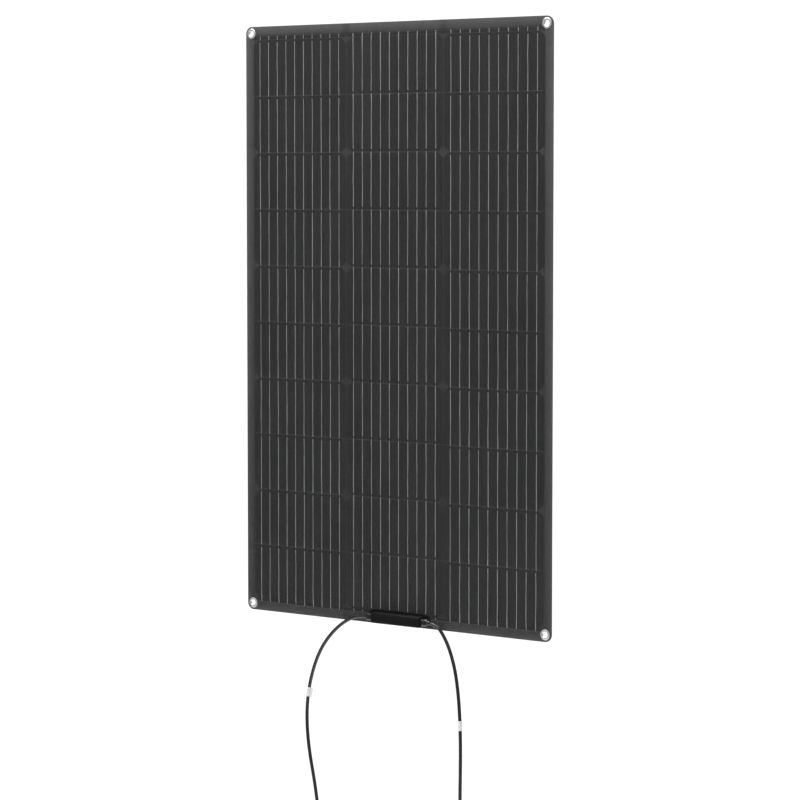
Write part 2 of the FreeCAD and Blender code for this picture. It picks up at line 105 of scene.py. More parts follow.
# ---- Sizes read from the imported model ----
film_low, film_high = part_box("front_film_1")
sheet_low_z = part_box("front_film_5")[0].z
half_width = film_high.x
sheet_top = film_high.z
front_y = film_low.y
film_rear_y = film_high.y
sheet_middle_z = (sheet_top + sheet_low_z) / 2
half_height = (sheet_top - sheet_low_z) / 2
corner_radius = 12 * mm
backsheet_front_y, backsheet_rear_y = [corner.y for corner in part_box("backsheet_1")]
core_low, core_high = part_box("core_board_1")
core_front_y = core_low.y
core_half_width = core_high.x
core_top = core_high.z
core_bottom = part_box("core_board_5")[0].z
cells_low, cells_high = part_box("solar_cells_1")
cell_front_y = cells_low.y
cell_rear_y = cells_high.y
field_half_width = cells_high.x
field_top = cells_high.z
field_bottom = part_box("solar_cells_5")[0].z

column_count = 3
row_count = 10
gap = 2 * mm
cell_width = (2 * field_half_width - (column_count - 1) * gap) / column_count
cell_height = (field_top - field_bottom - (row_count - 1) * gap) / row_count
column_pitch = cell_width + gap
row_pitch = cell_height + gap
cell_chamfer = 8.6 * mm

ribbon_count = 10
ribbon_pitch = 18 * mm
ribbon_width = 0.9 * mm
ribbon_thickness = 0.12 * mm
ribbon_softness = 0.05 * mm
front_margin = 4 * mm
hidden_tail = 6 * mm
front_plane = cell_front_y - ribbon_thickness / 2
rear_plane = cell_rear_y + ribbon_thickness / 2
ribbon_top_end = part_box("cell_ribbons_1")[1].z
ribbon_bottom_end = field_bottom - 4.2 * mm

lead_diameter = 5.6 * mm
slice_height = 7.75 * mm
bodies = ["top_band", "upper_band", "middle_band", "lower_band", "bottom_band"]


def cell_top(row):
    return field_top - row * row_pitch


seams = [sheet_top] + [cell_top(row) + gap / 2 for row in range(1, row_count, 2)] + [sheet_low_z]


# ---- Making pieces ----
def piece_from(name, bm, material, smooth_angle=35.0):
    """A piece from a closed bmesh, with its faces turned outwards."""
    bmesh.ops.recalc_face_normals(bm, faces=bm.faces)
    mesh = bpy.data.meshes.new(name)
    bm.to_mesh(mesh)
    bm.free()
    mesh.materials.append(material)
    mesh.shade_smooth()
    mesh.set_sharp_from_angle(angle=math.radians(smooth_angle))
    piece = bpy.data.objects.new(name, mesh)
    scene.collection.objects.link(piece)
    return piece


def ring_faces(bm, rings, closed_ends=True):
    """Joins rings of points into a skin, and caps its two ends if they are closed."""
    faces = []
    for ring, following in zip(rings, rings[1:]):
        for index in range(len(ring)):
            after = (index + 1) % len(ring)
            corners = [ring[index], ring[after], following[after], following[index]]
            faces.append(bm.faces.new(corners))
    if closed_ends:
        faces += [bm.faces.new(rings[0]), bm.faces.new(rings[-1])]
    return faces


def fit_length(piece, length, slot, *layers):
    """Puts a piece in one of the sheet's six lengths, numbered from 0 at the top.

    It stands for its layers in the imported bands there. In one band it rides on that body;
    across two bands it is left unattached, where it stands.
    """
    bands = [number for number in (length, length + 1) if 1 <= number <= len(bodies)]
    for layer in layers:
        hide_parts(*[layer + "_" + str(number) for number in bands])
    if len(bands) == 1:
        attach(piece, bodies[bands[0] - 1])
    else:
        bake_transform(piece)


def settle(piece, node, body="bottom_band"):
    """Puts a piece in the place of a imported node, on the body that carries it."""
    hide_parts(node)
    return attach(piece, body)


# ---- Materials ----
class Finish:
    """A material being made. A method that adds a node returns its output."""

    def __init__(self, name, color, roughness, metallic=0.0, specular=0.5):
        self.material = bpy.data.materials.new(name)
        self.material.use_nodes = True
        self.tree = self.material.node_tree
        self.shader = self.tree.nodes["Principled BSDF"].inputs
        self.shader["Base Color"].default_value = (*color, 1.0)
        self.shader["Roughness"].default_value = roughness
        self.shader["Metallic"].default_value = metallic
        self.shader["Specular IOR Level"].default_value = specular

    def node(self, kind, output, inputs, **settings):
        """Adds a node. Each input is a number, a vector or another node's output."""
        node = self.tree.nodes.new("ShaderNode" + kind)
        for setting, value in settings.items():
            setattr(node, setting, value)
        for key, value in inputs.items():
            if isinstance(value, bpy.types.NodeSocket):
                self.tree.links.new(value, node.inputs[key])
            else:
                node.inputs[key].default_value = value
        return node.outputs[output]

    def place(self, stretch=(1.0, 1.0, 1.0)):
        """Coordinates on the object in metres, multiplied by stretch."""
        spot = self.node("TexCoord", "Object", {})
        return self.node("Mapping", "Vector", {"Vector": spot, "Scale": stretch})

    def axes(self):
        """The outputs X, Y and Z of a place on the object."""
        return self.node("SeparateXYZ", "X", {"Vector": self.place()}).node.outputs

    def noise(self, scale, detail=4.0, upright=1.0):
        """Cloudy noise, drawn out along Z where upright is under 1."""
        vector = self.place((1.0, 1.0, upright))
        inputs = {"Vector": vector, "Scale": scale, "Detail": detail, "Roughness": 0.55}
        return self.node("TexNoise", "Fac", inputs)

    def math(self, operation, *values):
        return self.node("Math", "Value", dict(enumerate(values)), operation=operation)

    def spread(self, value, low, high, from_low=0.3, from_high=0.7):
        """A value brought from one range to another, and kept in it."""
        inputs = {"Value": value, "From Min": from_low, "From Max": from_high,
                  "To Min": low, "To Max": high}
        return self.node("MapRange", "Result", inputs)

    def ramp(self, value, stops):
        """Tones along a value: each stop is a place from 0 to 1, and its grey or colour."""
        output = self.node("ValToRGB", "Color", {"Fac": value})
        elements = output.node.color_ramp.elements
        while len(elements) < len(stops):
            elements.new(0.5)
        for element, (spot, tone) in zip(elements, stops):
            element.position = spot
            element.color = (*(tone if isinstance(tone, tuple) else (tone,) * 3), 1.0)
        return output

    def scaled(self, color, factor):
        return self.node("VectorMath", "Vector", {0: color, "Scale": factor}, operation="SCALE")

    def color(self, value):
        self.tree.links.new(value, self.shader["Base Color"])

    def roughness(self, value, low, high):
        self.tree.links.new(self.spread(value, low, high), self.shader["Roughness"])

    def bump(self, height, distance):
        normal = self.node("Bump", "Normal", {"Height": height, "Distance": distance})
        self.tree.links.new(normal, self.shader["Normal"])


def moulded(name, grey, roughness, grain=2500.0, depth=0.00004, specular=0.35):
    """Moulded plastic or rubber: fine even grain, faint cloudy tone and wear in the gloss."""
    finish = Finish(name, (grey,) * 3, roughness, specular=specular)
    finish.color(finish.ramp(finish.noise(60.0), [(0.3, grey * 0.85), (0.7, grey * 1.2)]))
    finish.roughness(finish.noise(220.0), roughness * 0.85, roughness * 1.2)
    finish.bump(finish.noise(grain, 2.0), depth)
    return finish.material


def film_material():
    """Thin matte polymer skin with a fine grain, clear enough to show the cells."""
    finish = Finish("front_film", (0.06,) * 3, 0.42, specular=0.35)
    finish.color(finish.ramp(finish.noise(9.0, 3.0), [(0.35, 0.053), (0.65, 0.067)]))
    finish.roughness(finish.noise(40.0), 0.38, 0.48)
    finish.shader["Alpha"].default_value = 0.12
    finish.bump(finish.noise(600.0, 2.0), 0.00002)
    return finish.material


def bonding_material():
    """Dark bonding layer, lighter towards the sheet's edge.

    That lighter margin narrows down the sides. The layer shows again in the gaps between cells,
    and is darker near the gaps between columns. A painted shade also darkens it towards the
    sheet's bottom, standing for the light falling off down the sheet.
    """
    finish = Finish("bonding_layer", (0.06,) * 3, 0.5, specular=0.3)
    axes = finish.axes()
    across = finish.math("ABSOLUTE", axes["X"])
    height = finish.math("SUBTRACT", axes["Z"], sheet_middle_z)
    from_side = finish.math("SUBTRACT", half_width, across)
    from_end = finish.math("SUBTRACT", half_height, finish.math("ABSOLUTE", height))
    side_margin = finish.math("ADD", finish.math("MULTIPLY", height, 3 * mm / half_height), 18 * mm)
    inward = finish.math("MINIMUM", finish.math("DIVIDE", from_side, side_margin),
                         finish.math("DIVIDE", from_end, 20 * mm))
    tone = finish.ramp(inward, [(0.0, 0.14), (0.11, 0.126), (0.33, 0.101), (0.55, 0.085),
                                (0.78, 0.072), (0.87, 0.052), (0.93, 0.052), (1.0, 0.08)])
    from_gap = finish.math("ABSOLUTE", finish.math("SUBTRACT", across, column_pitch / 2))
    gap_shade = finish.spread(from_gap, 0.72, 1.0, 4 * mm, 10 * mm)
    # painted shade: darker towards the sheet's bottom, standing for light falling off down the
    # sheet
    painted_light_falloff = finish.spread(height, 0.76, 1.09, -half_height, half_height)
    mottle = finish.spread(finish.noise(45.0), 0.93, 1.07)
    shade = finish.math("MULTIPLY", gap_shade, finish.math("MULTIPLY", mottle, painted_light_falloff))
    finish.color(finish.scaled(tone, shade))
    finish.roughness(finish.noise(120.0), 0.45, 0.6)
    finish.bump(finish.noise(700.0, 3.0), 0.00005)
    return finish.material


def cell_material():
    """Near-black silicon with fine printed finger lines across it and faint upright streaks."""
    finger_pitch = 1.3 * mm
    finish = Finish("silicon_cell", (0.03, 0.03, 0.033), 0.34, specular=0.3)
    streaks = finish.noise(420.0, 3.0, upright=0.012)
    tone = finish.ramp(streaks, [(0.3, (0.019, 0.019, 0.02)), (0.7, (0.031, 0.031, 0.0325))])
    waves = {"Vector": finish.place(), "Scale": 2 * math.pi / 20 / finger_pitch}
    finger = finish.node("TexWave", "Fac", waves, bands_direction="Z")
    finger = finish.spread(finger, 1.0, 1.9, 0.93, 1.0)
    finish.color(finish.scaled(tone, finger))
    finish.roughness(streaks, 0.3, 0.42)
    finish.bump(finger, 0.00002)
    return finish.material


def ribbon_material():
    """Tinned copper: bright, with dull patches and a drawn grain along its length."""
    finish = Finish("tinned_ribbon", (0.72,) * 3, 0.42, metallic=0.55)
    drawn = finish.noise(2600.0, 2.0, upright=0.05)
    patches = finish.noise(75.0, 2.0, upright=0.45)
    tone = finish.ramp(patches, [(0.25, 0.52), (0.5, 0.8), (0.75, 1.0)])
    finish.color(finish.scaled(tone, finish.spread(drawn, 0.9, 1.08)))
    finish.roughness(patches, 0.5, 0.34)
    finish.bump(drawn, 0.00003)
    return finish.material


def backsheet_material():
    """Black backsheet: satin, finely embossed, with ribbons and cell gaps faintly showing."""
    finish = Finish("backsheet", (0.016,) * 3, 0.48, specular=0.3)
    finish.color(finish.ramp(finish.noise(14.0), [(0.3, 0.0125), (0.7, 0.019)]))
    finish.roughness(finish.noise(90.0), 0.42, 0.56)
    axes = finish.axes()
    in_column = finish.math("WRAP", axes["X"], column_pitch / 2, -column_pitch / 2)
    to_ribbon = finish.math("PINGPONG", in_column, ribbon_pitch / 2)
    from_top = finish.math("SUBTRACT", axes["Z"], field_top + gap / 2)
    to_gap = finish.math("PINGPONG", from_top, row_pitch / 2)
    ridge = finish.spread(to_ribbon, 0.0, 1.0, ribbon_pitch / 2 - 1.4 * mm, ribbon_pitch / 2)
    groove = finish.spread(to_gap, 0.0, 1.0, 0.0, 3 * mm)
    emboss = finish.node("TexVoronoi", "Distance", {"Vector": finish.place(), "Scale": 1400.0})
    relief = finish.math("ADD", finish.math("ADD", ridge, groove),
                         finish.math("MULTIPLY", emboss, 0.25))
    finish.bump(relief, 0.00025)
    return finish.material


def plated_material():
    """Nickel-plated eyelet metal: satin, with small dull spots and fine scratches."""
    finish = Finish("nickel_plate", (0.8, 0.8, 0.79), 0.34, metallic=0.75)
    dull = finish.noise(900.0, 3.0)
    finish.color(finish.ramp(dull, [(0.3, 0.7), (0.7, 0.88)]))
    finish.roughness(dull, 0.42, 0.24)
    finish.bump(finish.noise(3500.0, 2.0), 0.00003)
    return finish.material


def label_material():
    """White wrap-round label film, slightly creased."""
    finish = Finish("label_film", (0.86,) * 3, 0.5)
    finish.color(finish.ramp(finish.noise(300.0), [(0.3, 0.8), (0.7, 0.9)]))
    finish.roughness(finish.noise(500.0), 0.4, 0.6)
    finish.bump(finish.noise(420.0, upright=0.3), 0.0002)
    return finish.material


def contact_material():
    """Silver-plated contact metal, drawn along its length."""
    finish = Finish("contact_metal", (0.7, 0.69, 0.66), 0.3, metallic=0.95)
    drawn = finish.noise(3000.0, upright=0.04)
    finish.color(finish.ramp(drawn, [(0.3, (0.6, 0.59, 0.56)), (0.7, (0.8, 0.79, 0.76))]))
    finish.roughness(drawn, 0.25, 0.4)
    finish.bump(drawn, 0.00002)
    return finish.material


def floor_material():
    """Pale matte floor paint, very slightly uneven."""
    finish = Finish("floor_paint", (0.93,) * 3, 0.85, specular=0.1)
    finish.color(finish.ramp(finish.noise(3.0), [(0.3, 0.92), (0.7, 0.95)]))
    return finish.material


film_skin = film_material()
bonding = bonding_material()
silicon = cell_material()
tinned = ribbon_material()
backing = backsheet_material()
plated = plated_material()
paper = label_material()
contact_plate = contact_material()
black_bus = moulded("black_bus", 0.02, 0.5)
box_plastic = moulded("box_plastic", 0.007, 0.42, grain=1500.0, specular=0.16)
clamp_plastic = moulded("clamp_plastic", 0.014, 0.2, grain=1200.0, depth=0.00002, specular=0.6)
adhesive = moulded("adhesive", 0.005, 0.5, grain=300.0, depth=0.0002, specular=0.1)
bush_rubber = moulded("bush_rubber", 0.016, 0.55)
jacket = moulded("lead_jacket", 0.02, 0.28, grain=1800.0, depth=0.00003, specular=0.5)
connector_plastic = moulded("connector_plastic", 0.015, 0.38, grain=1800.0)
potting = moulded("potting_gel", 0.2, 0.3)


# ---- Leads ----
left_lead_route = [
    (-0.044, -0.0081, -0.948),
    (-0.07, -0.0081, -0.948),
    (-0.102, -0.0084, -0.9645),
    (-0.13, -0.0088, -0.991),
    (-0.15, -0.0094, -1.022),
    (-0.1645, -0.0098, -1.063),
    (-0.1715, -0.0096, -1.102),
    (-0.1725, -0.009, -1.143),
    (-0.1675, -0.0086, -1.186),
    (-0.157, -0.0082, -1.235),
    (-0.1495, -0.0081, -1.284),
    (-0.1495, -0.0081, -1.338),
]
right_lead_route = [
    (0.066, -0.0081, -0.948),
    (0.086, -0.0081, -0.948),
    (0.103, -0.0084, -0.967),
    (0.116, -0.0089, -0.992),
    (0.1268, -0.0094, -1.028),
    (0.1332, -0.0098, -1.078),
    (0.1352, -0.0096, -1.1325),
    (0.1346, -0.009, -1.178),
    (0.1336, -0.0086, -1.222),
    (0.1334, -0.0082, -1.27),
    (0.133, -0.0081, -1.32),
    (0.133, -0.0081, -1.376),
]


def lead(name, route, node):
    """A lead's jacket: one smooth NURBS spline with the route's points, as thick as the lead."""
    data = bpy.data.curves.new(name, "CURVE")
    data.dimensions = "3D"
    spline = data.splines.new("NURBS")
    spline.points.add(len(route) - 1)
    for spot, corner in zip(spline.points, route):
        spot.co = (*corner, 1.0)
    spline.order_u = 3
    spline.use_endpoint_u = True
    spline.resolution_u = 16
    data.bevel_depth = lead_diameter / 2
    data.bevel_resolution = 6
    data.use_fill_caps = True
    data.materials.append(jacket)
    piece = bpy.data.objects.new(name, data)
    scene.collection.objects.link(piece)
    return settle(piece, node)


left_lead = lead("left_lead", left_lead_route, "lead_left")
right_lead = lead("right_lead", right_lead_route, "lead_right")


def lead_line(piece):
    """Points down the middle of a lead, read from its own spline."""
    bare = piece.data.copy()
    bare.bevel_depth = 0.0
    bare.use_fill_caps = False
    holder = bpy.data.objects.new("bare_line", bare)
    mesh = bpy.data.meshes.new_from_object(holder)
    line = [vertex.co.copy() for vertex in mesh.vertices]
    bpy.data.objects.remove(holder)
    bpy.data.meshes.remove(mesh)
    bpy.data.curves.remove(bare)
    return line


# ---- Sheet: film, bonding layer and backsheet ----
sheet_hole_radius = 5.35 * mm
rim = 0.3 * mm
front_rounding = 0.16 * mm
rear_rounding = 0.12 * mm
slope_width = 7 * mm
slope_drop = 0.12 * mm
slope_levels = [1.5 * mm, 3.5 * mm, slope_width]
shoulder = 3.5 * mm
shoulder_shares = (0.0, 0.25, 0.5, 0.75, 1.0)
upright_lines = (-0.19, -0.095, 0.0, 0.095, 0.19)


def rounded_rectangle(middle, half_across, half_up, radius, steps):
    """Corners of a rectangle with rounded corners, from its right side round over its top."""
    loop = []
    for side_a, side_b, start in ((1, 1, 0), (-1, 1, 90), (-1, -1, 180), (1, -1, 270)):
        for step in range(steps + 1):
            angle = math.radians(start + 90 * step / steps)
            loop.append((middle[0] + side_a * (half_across - radius) + radius * math.cos(angle),
                         middle[1] + side_b * (half_up - radius) + radius * math.sin(angle)))
    return loop


def inset_of(x, z):
    """How far inside the sheet's rounded edge a point is."""
    over_x = abs(x) - (half_width - corner_radius)
    over_z = abs(z - sheet_middle_z) - (half_height - corner_radius)
    beyond = math.hypot(max(over_x, 0.0), max(over_z, 0.0)) + min(max(over_x, over_z), 0.0)
    return corner_radius - beyond


def edge_x(z):
    """Half the sheet's width at a height."""
    over_z = max(abs(z - sheet_middle_z) - (half_height - corner_radius), 0.0)
    return half_width - corner_radius + math.sqrt(max(corner_radius ** 2 - over_z ** 2, 0.0))


def clipped(line, low, high):
    """The runs of a line of (across, z) points between two heights, cut off at the heights.

    The points of the line come out exactly as they were, so that runs which meet share them.
    """
    tiny = 1e-9
    runs = []
    for (across, z), (next_across, next_z) in zip(line, line[1:]):
        shares = [0.0, 1.0]
        rise = next_z - z
        if abs(rise) > tiny:
            cuts = sorted(((low - z) / rise, (high - z) / rise))
            shares = [max(0.0, cuts[0]), min(1.0, cuts[1])]
        if shares[0] < shares[1] and low - tiny <= z + rise * shares[0] <= high + tiny:
            runs.append([(across * (1 - share) + next_across * share,
                          z * (1 - share) + next_z * share) for share in shares])
    return runs


eyelet_spots = []
for node in ("top_eyelets", "bottom_eyelets"):
    low_corner, high_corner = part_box(node)
    flange_radius = (high_corner.z - low_corner.z) / 2
    eyelet_x = high_corner.x - flange_radius
    eyelet_z = (low_corner.z + high_corner.z) / 2
    eyelet_spots += [(-eyelet_x, eyelet_z), (eyelet_x, eyelet_z)]


def heights_between(low, high):
    """Level cuts from low to high, close enough together for a smooth bend."""
    count = max(1, round((high - low) / slice_height))
    return [low + (high - low) * step / count for step in range(count + 1)]


def flat_pattern(low, high, insets, rectangles):
    """Triangles in (x, z) of one length of the sheet, with edges along every fold and level.

    insets are distances from the edge, and rectangles are (half width, bottom, top). The front
    can change height along them.
    """
    same = 1e-6
    loops = [
        rounded_rectangle((0.0, sheet_middle_z), half_width - inset, half_height - inset,
                          corner_radius - inset, 14)
        for inset in [0.0] + insets
    ]
    loops += [[(-half, bottom), (half, bottom), (half, top), (-half, top)]
              for half, bottom, top in rectangles]
    lines = [run for loop in loops for run in clipped(loop + loop[:1], low, high)]
    lines += [[(-edge_x(z), z), (edge_x(z), z)] for z in heights_between(low, high)
              if same < sheet_top - z and same < z - sheet_low_z]
    lines += [[(x, low), (x, high)] for x in upright_lines]
    for spot_x, spot_z in eyelet_spots:
        if low < spot_z < high:
            angles = [math.radians(degrees) for degrees in range(0, 360, 9)]
            hole = [(spot_x + sheet_hole_radius * math.cos(angle),
                     spot_z + sheet_hole_radius * math.sin(angle)) for angle in angles]
            lines.append(hole + hole[:1])
    numbers = {}
    edges = []
    for line in lines:
        corners = [numbers.setdefault(spot, len(numbers)) for spot in line]
        edges += zip(corners, corners[1:])
    points = [Vector(spot) for spot in numbers]
    spots, _, faces, *_ = delaunay_2d_cdt(points, edges, [], 1, same)

    def in_hole(face):
        x = sum(spots[index].x for index in face) / 3
        z = sum(spots[index].y for index in face) / 3
        return any(math.hypot(x - hole_x, z - hole_z) < sheet_hole_radius * 0.99
                   for hole_x, hole_z in eyelet_spots)

    return spots, [face for face in faces if not in_hole(face)]


def slab(name, pattern, front, rear, material):
    """A plate from a flat pattern. front and rear give the plane at an (x, z) point."""
    spots, faces = pattern
    bm = bmesh.new()
    used = sorted({index for face in faces for index in face})
    fore, aft = [
        {index: bm.verts.new((spots[index].x, plane(*spots[index]), spots[index].y))
         for index in used}
        for plane in (front, rear)
    ]
    for face in faces:
        bm.faces.new([fore[index] for index in face])
        bm.faces.new([aft[index] for index in reversed(face)])
    sides = {side for face in faces for side in zip(face, face[1:] + face[:1])}
    for start, end in sorted(sides):
        if (end, start) not in sides:
            bm.faces.new([fore[end], fore[start], aft[start], aft[end]])
    return piece_from(name, bm, material)


def slope(x, z):
    """How far the film lies behind its flat field, where it falls towards the sheet's edge."""
    return slope_drop * (1 - min(inset_of(x, z) / slope_width, 1.0)) ** 2


def film_front(x, z):
    """The film's front: a rounded rim, then a shallow rise to the flat field."""
    return front_y + slope(x, z) + (front_rounding if inset_of(x, z) < rim / 2 else 0.0)


def film_rear(x, z):
    return film_rear_y + slope(x, z)


def bonding_front(x, z):
    """The bonding layer meets the film round the edge and drops to the board under the cells."""
    over_side = (abs(x) - core_half_width) / shoulder
    over_end = max(z - core_top, core_bottom - z) / shoulder
    out = min(max(over_side, over_end, 0.0), 1.0)
    smooth_out = out * out * (3 - 2 * out)
    film_clearance = 0.004 * mm
    edge_plane = film_rear(x, z) + film_clearance
    return core_front_y + (edge_plane - core_front_y) * smooth_out


def backsheet_front(x, z):
    """The joint between the bonding layer and the backsheet, which is flat."""
    return backsheet_front_y


def backsheet_rear(x, z):
    return backsheet_rear_y - (rear_rounding if inset_of(x, z) < rim / 2 else 0.0)


def laminate():
    shoulder_rings = [
        (core_half_width + shoulder * share, core_bottom - shoulder * share,
         core_top + shoulder * share)
        for share in shoulder_shares
    ]
    for length, (high, low) in enumerate(zip(seams, seams[1:])):
        number = str(length + 1)
        rim_pattern = flat_pattern(low, high, [rim] + slope_levels, [])
        shoulder_pattern = flat_pattern(low, high, slope_levels, shoulder_rings)
        film = slab("film_" + number, rim_pattern, film_front, film_rear, film_skin)
        fit_length(film, length, "clear_film", "front_film")
        filler = slab("bonding_layer_" + number, shoulder_pattern, bonding_front,
                      backsheet_front, bonding)
        fit_length(filler, length, "encapsulant", "encapsulant", "core_board")
        rear = slab("backsheet_piece_" + number, rim_pattern, backsheet_front, backsheet_rear,
                    backing)
        fit_length(rear, length, "black_backsheet", "backsheet")


# ---- Cells ----
def add_cell(bm, column, row):
    """One cell: a thin plate with softened front edges, sliced across so that it can bend.

    Two corners are cut, at its top in even rows and at its bottom in odd ones.
    """
    edge = 0.05 * mm
    middle_x = (column - 1) * column_pitch
    middle_z = cell_top(row) - cell_height / 2
    up = 1 if row % 2 == 0 else -1
    across, high = cell_width / 2, cell_height / 2
    cut_across, cut_high = across - cell_chamfer, high - cell_chamfer
    outline = [(-across, -high), (-across, cut_high), (-cut_across, high), (cut_across, high),
               (across, cut_high), (across, -high)]
    rings = []
    for inset, y in ((0.0, cell_rear_y), (0.0, cell_front_y + edge), (edge, cell_front_y)):
        scale_x, scale_z = 1 - inset / across, up * (1 - inset / high)
        rings.append([bm.verts.new((middle_x + x * scale_x, y, middle_z + z * scale_z))
                      for x, z in outline])
    faces = ring_faces(bm, rings)
    for z in heights_between(cell_top(row) - cell_height, cell_top(row))[1:-1]:
        geometry = {element for face in faces if face.is_valid
                    for element in (face, *face.edges, *face.verts)}
        cut = bmesh.ops.bisect_plane(bm, geom=list(geometry), plane_co=(0, 0, z),
                                     plane_no=(0, 0, 1))
        faces = [element for element in cut["geom"] if isinstance(element, bmesh.types.BMFace)]


def cells():
    for length in range(len(seams) - 1):
        bm = bmesh.new()
        for row in (2 * length - 1, 2 * length):
            if 0 <= row < row_count:
                for column in range(column_count):
                    add_cell(bm, column, row)
        piece = piece_from("cells_" + str(length + 1), bm, silicon)
        fit_length(piece, length, "silicon_cell", "solar_cells")


# ---- Ribbons ----
def ribbon_path(column, row):
    """Points (y, z) down the ribbon whose front part lies on one cell.

    In the middle column it climbs behind the cell above, elsewhere it passes behind the cell
    below. The ends of the columns reach over the bus ribbons.
    """
    top = cell_top(row)
    bottom = top - cell_height
    front_step = 0.4 * mm
    rear_step = 1.3 * mm
    if column == 1:
        above = ribbon_top_end if row == 0 else top + gap + hidden_tail
        return [(rear_plane, above), (rear_plane, top + rear_step),
                (front_plane, top + front_step), (front_plane, bottom + front_margin)]
    below = ribbon_bottom_end if row == row_count - 1 else bottom - gap - hidden_tail
    return [(front_plane, top - front_margin), (front_plane, bottom - front_step),
            (rear_plane, bottom - rear_step), (rear_plane, below)]


def end_stub(column):
    """The tail behind a column's last cell that comes out over a bus ribbon, as (y, z) points."""
    if column == 1:
        return [(rear_plane, field_bottom + hidden_tail), (rear_plane, ribbon_bottom_end)]
    return [(rear_plane, ribbon_top_end), (rear_plane, field_top - hidden_tail)]


def refined(path):
    """A downward (y, z) path with a point at least every slice."""
    points = path[:1]
    for (y, z), (next_y, next_z) in zip(path, path[1:]):
        count = max(1, math.ceil((z - next_z) / (slice_height * 0.75)))
        points += [(y + (next_y - y) * step / count, z + (next_z - z) * step / count)
                   for step in range(1, count + 1)]
    return points


def add_ribbon(bm, points, middle, offset, half):
    """A flat wire with softened front corners along a downward (y, z) path."""
    thick = ribbon_thickness / 2
    soft = ribbon_softness
    rings = []
    for y, z in points:
        wide = half + pad_widening(z)
        section = [(-wide, thick), (wide, thick), (wide, -thick + soft), (wide - soft * 2, -thick),
                   (-wide + soft * 2, -thick), (-wide, -thick + soft)]
        x = middle + offset(z)
        rings.append([bm.verts.new((x + across, y + deep, z)) for across, deep in section])
    ring_faces(bm, rings)


def sway(generator):
    """A ribbon's small sideways wander with height."""
    size = generator.uniform(0.08, 0.27) * mm
    lean = generator.uniform(-0.25, 0.25) * mm
    phase = generator.uniform(0.0, 2 * math.pi)
    wave = generator.uniform(55.0, 130.0) * mm
    short_size = generator.uniform(0.03, 0.12) * mm
    short_wave = generator.uniform(18.0, 40.0) * mm

    def offset(z):
        slow = size * math.sin(2 * math.pi * z / wave + phase)
        return lean + slow + short_size * math.sin(2 * math.pi * z / short_wave + 2.3 * phase)

    return offset


def pad_widening(z):
    """Extra half width of a ribbon at the solder pads near both ends of every cell."""
    pad_from_gap = 7.7 * mm
    pad_reach = 3.2 * mm
    pad_width = 0.16 * mm
    from_gap = (seams[1] - z) % row_pitch
    from_gap = min(from_gap, row_pitch - from_gap)
    return pad_width * max(0.0, 1 - abs(from_gap - pad_from_gap) / pad_reach)


def ribbon_strips():
    """Every ribbon of the sheet: its points, its middle, its sideways wander and half width."""
    generator = random.Random(7)
    strips = []
    for column in range(column_count):
        paths = [ribbon_path(column, row) for row in range(row_count)] + [end_stub(column)]
        for index in range(ribbon_count):
            middle = (column - 1) * column_pitch
            middle += (index - (ribbon_count - 1) / 2) * ribbon_pitch
            for path in paths:
                offset = sway(generator)
                half = ribbon_width / 2 * generator.uniform(0.86, 1.12)
                strips.append((refined(path), middle, offset, half))
    return strips


def ribbons():
    strips = ribbon_strips()
    for length, (high, low) in enumerate(zip(seams, seams[1:])):
        bm = bmesh.new()
        for points, middle, offset, half in strips:
            runs = clipped(points, low, high)
            if runs:
                add_ribbon(bm, runs[0][:1] + [run[1] for run in runs], middle, offset, half)
        piece = piece_from("ribbons_" + str(length + 1), bm, tinned, 50.0)
        fit_length(piece, length, "tinned_copper", "cell_ribbons")


laminate()
cells()
ribbons()


# ---- Turned and moulded shapes ----
def turned(bm, profile, base, upright=False, steps=64):
    """A ring turned about a line through base, which runs along Z if upright and else along Y.

    The closed profile is (radius, along) in millimetres. A third number is the share of the
    full depth that the finger grooves have there.
    """
    groove_depth = 0.55
    groove_count = 12
    rings = []
    for radius, along, *grooved in profile:
        ring = []
        for step in range(steps):
            angle = 2 * math.pi * step / steps
            dip = max(0.0, math.cos(groove_count * angle)) ** 2
            reach = radius - groove_depth * sum(grooved) * dip
            first, second = reach * math.cos(angle), reach * math.sin(angle)
            offset = (first, second, along) if upright else (first, along, second)
            ring.append(bm.verts.new(Vector(base) + Vector(offset) * mm))
        rings.append(ring)
    ring_faces(bm, rings + rings[:1], closed_ends=False)


def soft_block(bm, middle, size, softness):
    """A small block with rounded edges. Its size and softness are in millimetres."""
    made = bmesh.ops.create_cube(bm, size=1.0)["verts"]
    for vertex in made:
        vertex.co = Vector(middle) + vertex.co * Vector(size) * mm
    edges = list({edge for vertex in made for edge in vertex.link_edges})
    bmesh.ops.bevel(bm, geom=edges, offset=softness * mm, segments=2, profile=0.5,
                    affect="EDGES", clamp_overlap=True)


